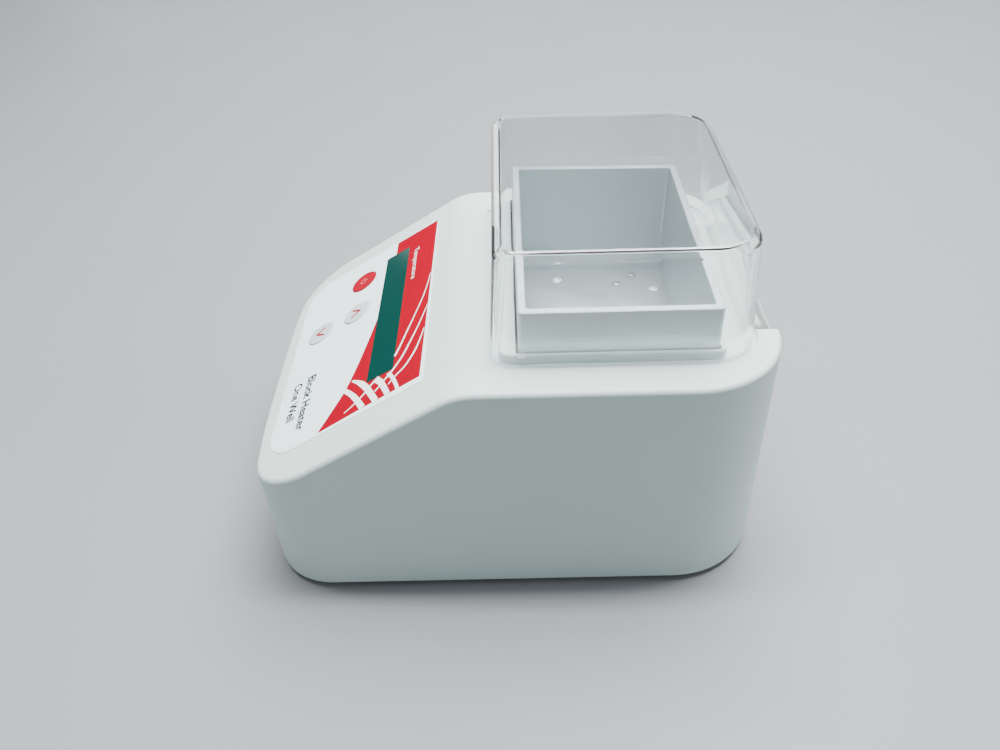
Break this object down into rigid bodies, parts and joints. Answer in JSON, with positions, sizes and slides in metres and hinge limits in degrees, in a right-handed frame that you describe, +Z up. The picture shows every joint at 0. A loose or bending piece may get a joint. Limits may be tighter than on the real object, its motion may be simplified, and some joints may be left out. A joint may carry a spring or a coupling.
{
  "type": "dry block heater",
  "caption": "Compact bench dry block heater: sloping keypad front, metal heating well on top and a clear hinged cover over it.",
  "frame": {"origin": "middle of the bounding box at the level of the feet", "axes": "+X to the user's right, +Y to the back (longest side), +Z up"},
  "size_m": [0.1516, 0.2032, 0.1443],
  "materials": {
    "housing": "fine satin",
    "base": "matte",
    "rubber": "matte",
    "steel": "plain",
    "label": "matte",
    "well": "fine bead-blasted",
    "silicone": "matte",
    "foam": "matte foam",
    "black": "matte",
    "overlay": "printed satin film",
    "window": "clear tinted",
    "lcd": "dark green display",
    "board": "solder mask",
    "brass": "plain",
    "terminal": "moulded",
    "lead": "insulated wire",
    "cover": "clear polished",
    "red": "satin",
    "key": "satin"
  },
  "bodies": {
    "base": {"housing_cover": "housing", "base_plate": "base", "rubber_feet": "rubber", "base_screws": "steel", "rating_label": "label", "block_well": "well", "well_floor_screws": "steel", "sensor_clip_screws": "steel", "well_standoffs": "steel", "heater_mat": "silicone", "heater_pressure_plate": "steel", "insulation_jacket": "foam", "temperature_sensor": "steel", "sensor_clip": "well", "thermal_cutout": "black", "panel_overlay": "overlay", "display_window": "window", "lcd_module": "lcd", "control_board": "board", "key_switches": "black", "control_board_screws": "steel", "ribbon_plug": "black", "main_board": "board", "board_spacers": "brass", "board_screws": "steel", "filter_capacitors": "black", "alarm_buzzer": "black", "microcontroller": "black", "terminal_block": "terminal", "heat_sink": "well", "power_transistor": "black", "board_plug": "black", "dc_inlet": "black", "dc_inlet_pin": "brass", "dc_inlet_nut": "black", "heater_leads": "silicone", "sensor_lead": "lead", "inlet_leads": "lead", "panel_ribbon": "lead", "hinge_pins": "steel"},
    "lid": {"lid_cover": "cover"},
    "on_off": {"on_off_key": "red"},
    "up": {"up_key": "key"},
    "down": {"down_key": "key"}
  },
  "joints": [
    {"name": "lid_hinge", "type": "hinge", "parent": "base", "child": "lid", "pos_m": [0, 0.0958, 0.097], "axis": [-1, 0, 0], "range_deg": [0, 100]},
    {"name": "on_off_press", "type": "slide", "parent": "base", "child": "on_off", "axis": [0, 0.5203, -0.854], "range_m": [0, 0.0005], "stiffness_N_per_m": 3000, "springref_m": -0.0002},
    {"name": "up_press", "type": "slide", "parent": "base", "child": "up", "axis": [0, 0.5203, -0.854], "range_m": [0, 0.0005], "stiffness_N_per_m": 3000, "springref_m": -0.0002},
    {"name": "down_press", "type": "slide", "parent": "base", "child": "down", "axis": [0, 0.5203, -0.854], "range_m": [0, 0.0005], "stiffness_N_per_m": 3000, "springref_m": -0.0002}
  ]
}
